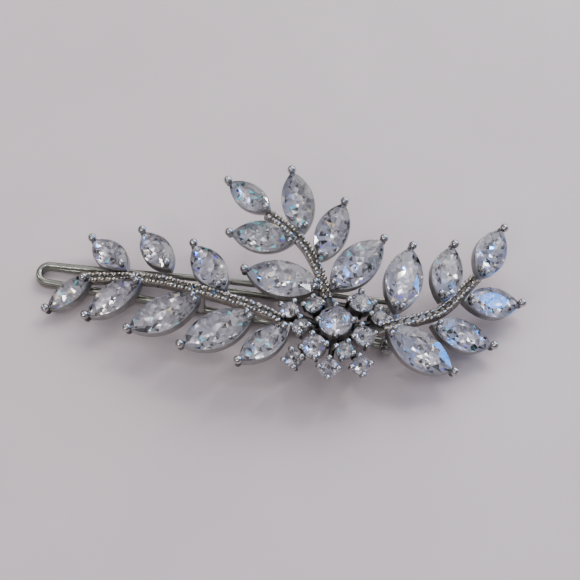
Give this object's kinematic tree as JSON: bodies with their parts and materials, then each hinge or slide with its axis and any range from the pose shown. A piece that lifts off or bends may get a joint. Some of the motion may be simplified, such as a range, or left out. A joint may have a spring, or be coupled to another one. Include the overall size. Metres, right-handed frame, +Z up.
{
  "type": "hair clip",
  "caption": "Hinged spring-wire hair clip that carries an arched spray of marquise-stone leaves, beaded stems and a cluster of round stones.",
  "frame": {"origin": "middle of the object's box, on the surface that the closed clip rests on", "axes": "+X along the clip from its snap nose to its hinge, +Z up out of the jewelled face, -Y towards the spray's front edge"},
  "size_m": [0.0823, 0.0365, 0.0147],
  "materials": {
    "plated_casting": "bright rhodium-coloured plating over a cast setting",
    "wire_steel": "polished nickel-plated spring wire",
    "crystal": "clear faceted cubic zirconia"
  },
  "bodies": {
    "spray_and_frame": {"left_branch": "plated_casting", "top_branch": "plated_casting", "right_branch": "plated_casting", "flower_head": "plated_casting", "left_stone_1": "crystal", "left_stone_2": "crystal", "left_stone_3": "crystal", "left_stone_4": "crystal", "left_stone_5": "crystal", "left_stone_6": "crystal", "left_stone_7": "crystal", "left_stone_8": "crystal", "top_stone_1": "crystal", "top_stone_2": "crystal", "top_stone_3": "crystal", "top_stone_4": "crystal", "top_stone_5": "crystal", "top_stone_6": "crystal", "right_stone_1": "crystal", "right_stone_2": "crystal", "right_stone_3": "crystal", "right_stone_4": "crystal", "right_stone_5": "crystal", "right_stone_6": "crystal", "flower_stone_1": "crystal", "flower_stone_2": "crystal", "flower_stone_3": "crystal", "flower_stone_4": "crystal", "flower_stone_5": "crystal", "flower_stone_6": "crystal", "flower_stone_7": "crystal", "flower_stone_8": "crystal", "flower_stone_9": "crystal", "flower_stone_10": "crystal", "flower_stone_11": "crystal", "flower_stone_12": "crystal", "left_pave_stones": "crystal", "top_pave_stones": "crystal", "right_pave_stones": "crystal", "solder_posts": "wire_steel", "frame_wire": "wire_steel", "rear_lug": "wire_steel", "front_lug": "wire_steel", "hinge_pin": "wire_steel"},
    "tongue": {"tongue_wire": "wire_steel", "hinge_barrel": "wire_steel"}
  },
  "joints": [
    {"name": "tongue_hinge", "type": "hinge", "parent": "spray_and_frame", "child": "tongue", "pos_m": [0.0197, 0, 0.0013], "axis": [0, -1, 0], "range_deg": [0, 60]}
  ]
}
